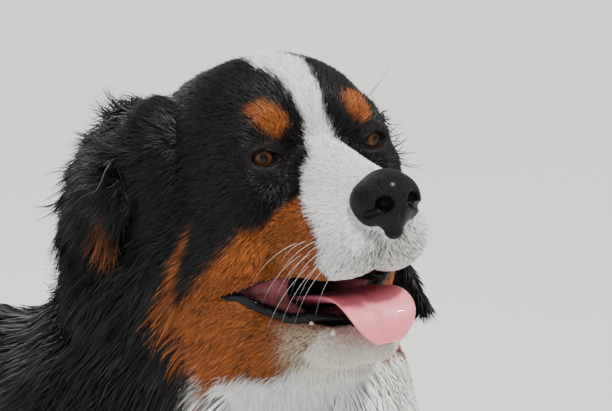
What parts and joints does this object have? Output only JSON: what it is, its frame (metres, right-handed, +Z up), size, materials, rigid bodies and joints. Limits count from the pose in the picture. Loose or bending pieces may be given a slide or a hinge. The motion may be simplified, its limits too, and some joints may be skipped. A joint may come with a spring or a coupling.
{
  "type": "bernese mountain dog",
  "caption": "Life-size still model of a Bernese mountain dog, standing with its head turned to its right and its mouth open, in long tricolour coat",
  "frame": {"origin": "bottom centre of the bounding box, on the floor between the paws", "axes": "+Z up, nose end towards -Y, the dog's left side towards +X"},
  "size_m": [0.3878, 1.049, 0.9335],
  "materials": {
    "coat": "long black coat with rust and white markings",
    "nose_leather": "moist black leather",
    "tongue": "moist pink",
    "eyes": "clear wet brown eye",
    "claws": "dark horn",
    "lips": "moist black skin at lips, lids and pads",
    "teeth": "ivory enamel",
    "mouth": "moist pink and dark lining of the mouth",
    "whiskers": "stiff white hair"
  },
  "bodies": {
    "root": {"head": "coat", "jaw": "coat", "nose": "nose_leather", "tongue": "tongue", "neck": "coat", "torso": "coat", "tail": "coat", "eye_left": "eyes", "ear_left": "coat", "foreleg_left": "coat", "forepaw_left": "coat", "thigh_left": "coat", "shank_left": "coat", "hindpaw_left": "coat", "eye_right": "eyes", "ear_right": "coat", "foreleg_right": "coat", "forepaw_right": "coat", "thigh_right": "coat", "shank_right": "coat", "hindpaw_right": "coat"}
  },
  "joints": []
}
